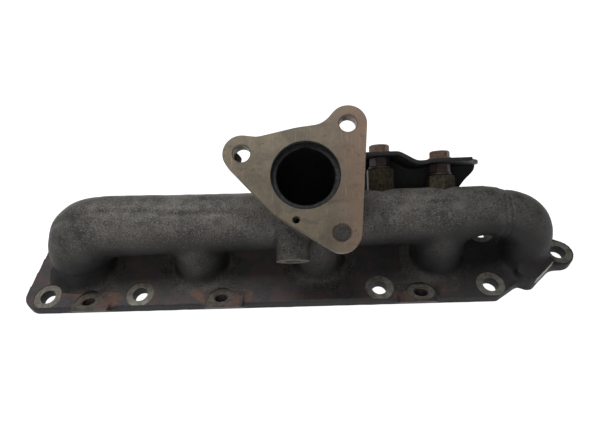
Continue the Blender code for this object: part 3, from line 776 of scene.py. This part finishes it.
def gasket_face():
    """Underside of the head flange: milled, sooty and lightly rusted in patches."""
    f = Finish("gasket_face", metallic=0.55)
    lines = f.noise(0.5 * MM, 2, 0.5, stretch=(0.03, 1.0, 1.0))
    stain = f.mask(f.noise(20 * MM, 5, 0.65), 0.4, 0.62)
    shade = f.blend(stain, (0.22, 0.20, 0.18), (0.10, 0.072, 0.058))
    shade = f.blend(f.mask(lines, 0.45, 0.6) * 0.3, shade, (0.30, 0.28, 0.25))
    return f.set(Base_Color=shade, Roughness=f.mask(stain, 0, 1) * 0.25 + 0.35,
                 Normal=f.bump(lines, 0.06 * MM, 0.6))


def soot():
    """Inside of the gas passages."""
    f = Finish("soot", specular=0.12)
    flecks = f.noise(2.5 * MM, 4, 0.7)
    shade = f.blend(f.mask(flecks, 0.5, 0.7), (0.003, 0.003, 0.0035), (0.012, 0.0115, 0.012))
    return f.set(Base_Color=shade, Roughness=0.8, Normal=f.bump(flecks, 0.3 * MM, 0.7))


def outlet_face():
    """Machined outlet flange: tan, with an orange heat tint to the right, scratches and stains."""
    f = Finish("outlet_flange_face", metallic=0.45)
    cloud = f.noise(16 * MM, 4, 0.6)
    shade = f.blend(f.mask(cloud, 0.4, 0.62), (0.152, 0.124, 0.086), (0.106, 0.088, 0.063))
    warm = f.mask(f.along(X) + cloud * 20 * MM, 62 * MM, 86 * MM)
    shade = f.blend(warm * 0.5, shade, (0.25, 0.155, 0.11))
    scratch = f.noise(0.8 * MM, 3, 0.6, stretch=(1.0, 0.06, 0.06), shift=3.0)
    shade = f.blend(f.mask(scratch, 0.55, 0.75) * 0.35, shade, (0.40, 0.36, 0.30))
    spots = f.noise(2.2 * MM, 4, 0.75, shift=9.0)
    shade = f.blend(f.mask(spots, 0.56, 0.7) * 0.7, shade, (0.050, 0.036, 0.026))
    streak = f.noise(5 * MM, 4, 0.65, stretch=(0.35, 1.0, 1.0), shift=6.0)
    shade = f.blend(f.mask(streak, 0.52, 0.68) * 0.5, shade, (0.070, 0.060, 0.048))
    return f.set(Base_Color=shade, Roughness=f.mask(spots, 0.3, 0.7) * 0.2 + 0.36,
                 Normal=f.bump(scratch + spots * 0.6, 0.06 * MM, 0.6))


def bracket_black():
    """Dull black paint with a little dust."""
    f = Finish("bracket_paint", specular=0.15)
    dust = f.noise(6 * MM, 5, 0.7)
    shade = f.blend(f.mask(dust, 0.5, 0.7) * 0.6, (0.022, 0.0225, 0.023), (0.052, 0.051, 0.049))
    return f.set(Base_Color=shade, Roughness=f.mask(dust, 0.3, 0.7) * 0.25 + 0.42,
                 Normal=f.bump(f.noise(0.7 * MM, 3, 0.6), 0.08 * MM, 0.6))


def fastener(name, dark, light, flake):
    """Oxidised steel of screws, nuts and spacers."""
    f = Finish(name, metallic=0.3, specular=0.3)
    patches = f.noise(2.4 * MM, 4, 0.7)
    shade = f.blend(f.mask(patches, 0.38, 0.62), dark, light)
    shade = f.blend(f.mask(f.noise(1.0 * MM, 3, 0.7, shift=3.0), 0.56, 0.7) * 0.7, shade, flake)
    return f.set(Base_Color=shade, Roughness=f.mask(patches, 0.3, 0.7) * 0.25 + 0.38,
                 Normal=f.bump(patches, 0.12 * MM, 0.7))


# ---- marking faces --------------------------------------------------------------------------
def distance_to_line(places, line):
    """Shortest distance from each place to a broken line."""
    best = np.full(len(places), np.inf)
    for a, b in zip(line, line[1:]):
        a, b = np.array(a), np.array(b)
        span = b - a
        t = np.clip(((places - a) @ span) / (span @ span), 0, 1)
        best = np.minimum(best, np.linalg.norm(places - a - t[:, None] * span, axis=1))
    return best


def mark(piece, finishes, tests):
    """Gives each face the finish of the last (finish number, test) it passes, or the first."""
    mesh = piece.data
    mesh.materials.clear()
    for finish in finishes:
        mesh.materials.append(finish)
    count = len(mesh.polygons)
    centres = read(mesh.polygons, "center", count)
    normals = read(mesh.polygons, "normal", count)
    slots = np.zeros(count, np.int32)
    for slot, test in tests:
        slots[test(centres, normals)] = slot
    mesh.polygons.foreach_set("material_index", slots)
    mesh.update()


def in_bore(centres, normals):
    """Faces on the walls of the gas passages."""
    hit = np.zeros(len(centres), bool)
    for _, line, radii in bores():
        for i in range(len(line) - 1):
            reach = max(radii[i:i + 2]) + SKIN
            hit |= distance_to_line(centres, line[i:i + 2]) < reach
    return hit


def near_line(line, reach):
    """Test for faces within reach of a line."""
    return lambda centres, normals: distance_to_line(centres, line) < reach


def on_plane(place, axis, slack=0.03 * MM):
    """Test for faces that lie in the plane through place and look along axis."""
    place, axis = np.array(place), np.array(axis)

    def test(centres, normals):
        return (np.abs((centres - place) @ axis) < slack) & (normals @ axis > 0.95)
    return test


def smooth(piece, angle):
    """Smooth shading, with edges sharper than angle kept crisp."""
    piece.data.shade_smooth()
    piece.data.set_sharp_from_angle(angle=math.radians(angle))


# ---- outlet flange --------------------------------------------------------------------------
def make_outlet_flange():
    flange = slab("outlet_flange_machined", OUTLET_FRAME, flange_outline(), -OUTLET_THICK, 0, 0.9 * MM)
    tools = [turned("bore", OUTLET_FRAME, [
        (OUTLET_BORE, -OUTLET_THICK - 2 * MM), (OUTLET_BORE, -OUTLET_STEP_DEPTH - 0.6 * MM),
        (OUTLET_BORE + 0.6 * MM, -OUTLET_STEP_DEPTH), (OUTLET_STEP, -OUTLET_STEP_DEPTH + HAIR),
        (OUTLET_STEP, -0.7 * MM), (OUTLET_STEP + 2.7 * MM, 2 * MM)], 96)]
    chamfer = 0.7 * MM
    for x, y in BOLTS:
        hole = OUTLET_FRAME @ Matrix.Translation((x, y, 0))
        tools.append(turned("bolt_hole", hole, [
            (BOLT_HOLE + 2 * chamfer, -OUTLET_THICK - chamfer),
            (BOLT_HOLE, -OUTLET_THICK + chamfer), (BOLT_HOLE, -chamfer),
            (BOLT_HOLE + 2 * chamfer, chamfer)]))
    x, y = polar(29.7 * MM, -103.0)
    tools.append(turned("locator", OUTLET_FRAME @ Matrix.Translation((x, y, 0)), [
        (2.2 * MM, -12 * MM), (2.2 * MM, -0.5 * MM), (3.2 * MM, 0.5 * MM)], 32))
    return cut(flange, *tools)


# ---- bracket --------------------------------------------------------------------------------
def leaf_height(x):
    """Height of the leaf's underside above the log axis, along the bracket."""
    left, dip, right = STACKS["left"][1], 37.2 * MM, STACKS["right"][1]
    knots = [(82, left), (107, left), (119.5, dip), (125, dip), (131, right), (160, right)]
    return float(np.interp(x / MM, [k for k, _ in knots], [h for _, h in knots]))


def make_bracket():
    """Pressed sheet: a leaf over both screws that turns down into a skirt behind them."""
    start, corner, widest = 78.6 * MM, 158.6 * MM, 171.0 * MM
    front, back = -12.8 * MM, 23.9 * MM
    turn, foot = 4.0 * MM, 9.0 * MM
    columns = 78
    flat = 58                                   # columns before the right end starts to spread
    pitch = (corner - start) / columns
    heights = np.array([leaf_height(start + pitch * i) for i in range(columns + 1)])
    for _ in range(6):
        heights[1:-1] = (heights[:-2] + heights[2:] + 2 * heights[1:-1]) / 4
    rows = []                                   # (depth, fall from the leaf, share of the skirt, end)
    for t in np.linspace(0, 1, 13):
        end = np.interp(t, (0, 0.2, 0.4, 0.6, 0.8, 1), (158.6, 160.2, 163.6, 168.4, 171.2, 171.0))
        rows.append((front + (back - turn - front) * t, 0.0, 0.0, end * MM))
    for k in range(1, 6):
        a = math.pi / 2 * k / 5
        rows.append((back - turn + turn * math.sin(a), turn * (1 - math.cos(a)), 0.0, widest))
    for k in range(1, 12):
        end = np.interp(k / 11, (0.0, 0.12, 0.35, 0.55, 0.75, 1.0),
                        (171.0, 170.0, 163.0, 158.5, 157.0, 156.5))
        rows.append((back, turn, k / 11, end * MM))
    place = facing(LOG_AXIS, STACK_AXIS)
    shape = bmesh.new()
    grid = []
    for depth, fall, share, end in rows:
        line = []
        for i in range(columns + 1):
            x = start + pitch * i
            if i > flat:
                last = start + pitch * flat
                x = last + (end - last) * (i - flat) / (columns - flat)
            top = heights[i] + SHEET - fall
            line.append(shape.verts.new(place @ Vector((x, depth, top + (foot - top) * share))))
        grid.append(line)
    for low, high in zip(grid, grid[1:]):
        for i in range(columns):
            shape.faces.new((low[i], low[i + 1], high[i + 1], high[i]))
    bracket = add("bracket_pressed", shape)
    thick = bracket.modifiers.new("sheet", "SOLIDIFY")
    thick.thickness = SHEET - 0.2 * MM
    thick.offset = -1.0 if bracket.data.polygons[0].normal.dot(STACK_AXIS) > 0 else 1.0
    settle(bracket)
    edges = bracket.modifiers.new("edges", "BEVEL")
    edges.width = 0.6 * MM
    edges.segments = 2
    edges.limit_method = "ANGLE"
    edges.angle_limit = math.radians(50)
    return settle(bracket)


# ---- fixings --------------------------------------------------------------------------------
def hex_piece(name, place, width, low, high, chamfer, turn=0.0):
    """Hexagonal prism whose corners are turned off at the top, and a little at the bottom."""
    prism = slab(name, place, hexagon(width, turn), low, high)
    corner = width / 2 / math.cos(math.pi / 6)
    flat = width / 2
    round_off = turned("round_off", place, [
        (flat - 0.1 * MM, low - 1e-5), (corner + 0.2 * MM, low + chamfer * 0.35),
        (corner + 0.2 * MM, high - chamfer), (flat - 0.35 * MM, high + 1e-5)])
    return combine(prism, "INTERSECT", [round_off])


def make_fixings(side, x, under):
    """Screw, nut, washer and spacer of one stack; the bracket's leaf lies on height under."""
    place = facing(LOG_AXIS + Vector((x, 0, 0)), STACK_AXIS)
    seat = under + SHEET + GAP
    made = {}
    head = hex_piece("bolt_" + side, place, HEX_WIDTH, seat + 0.9 * MM, seat + 6.0 * MM, 0.9 * MM)
    collar = turned("collar", place, [(8.6 * MM, seat), (8.6 * MM, seat + 0.7 * MM),
                                      (7.2 * MM, seat + 1.5 * MM), (6.0 * MM, seat + 1.7 * MM)])
    shank = turned("shank", place, [(SCREW_RADIUS - 0.5 * MM, 17.5 * MM), (SCREW_RADIUS, 18.5 * MM),
                                    (SCREW_RADIUS, seat + 1 * MM)])
    combine(head, "UNION", [collar, shank])
    made["bracket_bolt_" + side] = cut(head, turned("dish", place, [
        (3.6 * MM, seat + 5.7 * MM), (4.6 * MM, seat + 6.1 * MM), (4.6 * MM, seat + 7 * MM)]))
    nut_low = under - GAP - 6.2 * MM
    nut = hex_piece("nut_" + side, place, HEX_WIDTH, nut_low, under - GAP, 0.5 * MM)
    made["bracket_nut_" + side] = cut(nut, hole_for(place, nut_low, under))
    washer_low, washer_high = nut_low - GAP - 1.6 * MM, nut_low - GAP
    rim = 0.3 * MM
    washer = turned("washer_" + side, place, [
        (7.7 * MM, washer_low), (8.0 * MM, washer_low + rim), (8.0 * MM, washer_high - rim),
        (7.7 * MM, washer_high)])
    made["bracket_washer_" + side] = cut(washer, hole_for(place, washer_low, nut_low))
    spacer = hex_piece("spacer_" + side, place, SPACER_WIDTH, SPACER_LOW, washer_low - GAP, 0.8 * MM, 30)
    hole = hole_for(place, SPACER_LOW - 2 * MM, washer_low)
    made["bracket_spacer_" + side] = cut(spacer, hole, log_room(0.05 * MM))
    return made


def hole_for(place, low, high):
    """Tool for a screw's clearance hole."""
    radius = SCREW_RADIUS + SCREW_PLAY
    return turned("screw_hole", place, [(radius, low - 2 * MM), (radius, high + 2 * MM)], 40)


# ---- the whole ------------------------------------------------------------------------------
def hand_over(piece, node, angle=32.0):
    """Makes piece the look of one node of the frame."""
    smooth(piece, angle)
    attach(piece, "root")
    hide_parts(node)


def build():
    cast, seat, gasket, dark = cast_iron(), machined_seat(), gasket_face(), soot()
    plate, mound = rusty_plate("rusty_flange", 0.0), rusty_plate("rusty_boss", 0.8)
    body = one_skin(rough_body())
    relax(body, 3, 0.5, False)
    relax(body, 60, 0.9, True)
    relax(body, 2, 0.4, False)
    uneven(body, 0.22 * MM, 9 * MM)
    pieces = divide(machine(body))
    slots = {"head_flange": "rusty_plate", "side_lug": "rusty_plate"}
    for node, piece in pieces.items():
        skin = plate if node in slots else cast
        if node == "head_flange":
            spots = on_plane((0, 0, SPOT_FLOOR), (0, 0, 1))
            under = on_plane((0, 0, 0), (0, 0, -1))
            mark(piece, [skin, dark, seat, gasket], [(1, in_bore), (2, spots), (3, under)])
        elif node == "side_lug":
            away = Vector((LUG_FAR[1] - LUG_NEAR[1], LUG_NEAR[0] - LUG_FAR[0], 0)).normalized()
            mark(piece, [skin, seat], [(1, lambda _, normals: normals @ np.array(away) > 0.93)])
        elif node.startswith("shield_boss"):
            slots[node] = "boss_machined"
            face = on_plane((0, SHIELD_Y, SHIELD_Z), SHIELD_AXIS)
            mark(piece, [mound, dark, seat], [(1, in_bore), (2, face)])
        elif node == "sensor_boss":
            mark(piece, [skin, dark, seat], [(1, in_bore), (2, on_plane(SENSOR_END, SENSOR_AXIS))])
        else:
            mark(piece, [skin, dark], [(1, in_bore)])
        hand_over(piece, node)
    flange = make_outlet_flange()
    under = OUTLET_CENTRE - OUTLET_AXIS * OUTLET_THICK
    rim = fastener("bore_rim", (0.012, 0.012, 0.013), (0.036, 0.036, 0.037), (0.006, 0.006, 0.006))
    mark(flange, [outlet_face(), dark, rim], [
        (2, near_line([under, OUTLET_CENTRE], OUTLET_STEP + 0.4 * MM)), (1, in_bore),
        (0, on_plane(OUTLET_CENTRE, OUTLET_AXIS)), (0, on_plane(under, -OUTLET_AXIS))])
    hand_over(flange, "outlet_flange", 20.0)
    bracket = make_bracket()
    mark(bracket, [bracket_black()], [])
    hand_over(bracket, "bracket")
    steels = {
        "bolt": ("bolt_steel", fastener("screw_rust", (0.085, 0.052, 0.036), (0.17, 0.105, 0.075),
                                        (0.045, 0.028, 0.02))),
        "nut": ("nut_steel", fastener("nut_oxide", (0.035, 0.022, 0.022), (0.075, 0.048, 0.045),
                                      (0.10, 0.06, 0.05))),
        "spacer": ("spacer_steel", fastener("spacer_passivate", (0.018, 0.015, 0.009),
                                            (0.050, 0.043, 0.024), (0.010, 0.008, 0.006))),
    }
    steels["washer"] = steels["nut"]
    for side, (x, under) in STACKS.items():
        for node, piece in make_fixings(side, x, under).items():
            slot, finish = steels[node.split("_")[1]]
            mark(piece, [finish], [])
            hand_over(piece, node)


# ---- studio ---------------------------------------------------------------------------------
def make_camera():
    pitch, yaw, roll = math.radians(50.30), math.radians(-2.864), math.radians(-4.136)
    ahead = Vector((math.sin(yaw) * math.cos(pitch), math.cos(yaw) * math.cos(pitch), -math.sin(pitch)))
    right = Vector((math.cos(yaw), -math.sin(yaw), 0.0))
    down = ahead.cross(right)
    side = right * math.cos(roll) - down * math.sin(roll)
    up = -(right * math.sin(roll) + down * math.cos(roll))
    lens = bpy.data.cameras.new("camera")
    lens.lens = 28.6
    lens.sensor_width = 36.0
    camera = bpy.data.objects.new("camera", lens)
    bpy.context.scene.collection.objects.link(camera)
    place = Matrix((side, up, -ahead)).transposed().to_4x4()
    place.translation = Vector((44.8, -214.4, 322.2)) * MM
    camera.matrix_world = place
    bpy.context.scene.camera = camera


def softbox(name, place, target, width, depth, power):
    light = bpy.data.lights.new(name, "AREA")
    light.shape = "RECTANGLE"
    light.size = width
    light.size_y = depth
    light.energy = power
    lamp = bpy.data.objects.new(name, light)
    bpy.context.scene.collection.objects.link(lamp)
    lamp.matrix_world = facing(Vector(place), Vector(place) - Vector(target))
    return lamp


def make_studio():
    make_camera()
    size = 20.0
    floor = block("floor", (-size, -size, -12 * MM), (size, size, -2e-5))
    pale = bpy.data.materials.new("pale_floor")
    pale.use_nodes = True
    shader = pale.node_tree.nodes["Principled BSDF"]
    shader.inputs["Base Color"].default_value = (0.20, 0.20, 0.20, 1.0)
    shader.inputs["Roughness"].default_value = 0.9
    shader.inputs["Emission Color"].default_value = (1.0, 1.0, 1.0, 1.0)
    shader.inputs["Emission Strength"].default_value = 1.0
    floor.data.materials.append(pale)
    world = bpy.data.worlds.new("studio")
    world.use_nodes = True
    bpy.context.scene.world = world
    sky = world.node_tree.nodes["Background"]
    sky.inputs["Color"].default_value = (1.0, 1.0, 1.0, 1.0)
    sky.inputs["Strength"].default_value = 0.16
    softbox("overhead", (-0.16, 0.22, 0.85), (-0.03, 0, 0.03), 0.6, 0.45, 5.6)
    softbox("front", (-0.2, -0.75, 0.75), (0, 0, 0.03), 0.6, 0.6, 1.9)
    bpy.context.scene.view_settings.view_transform = "Standard"


build()
make_studio()
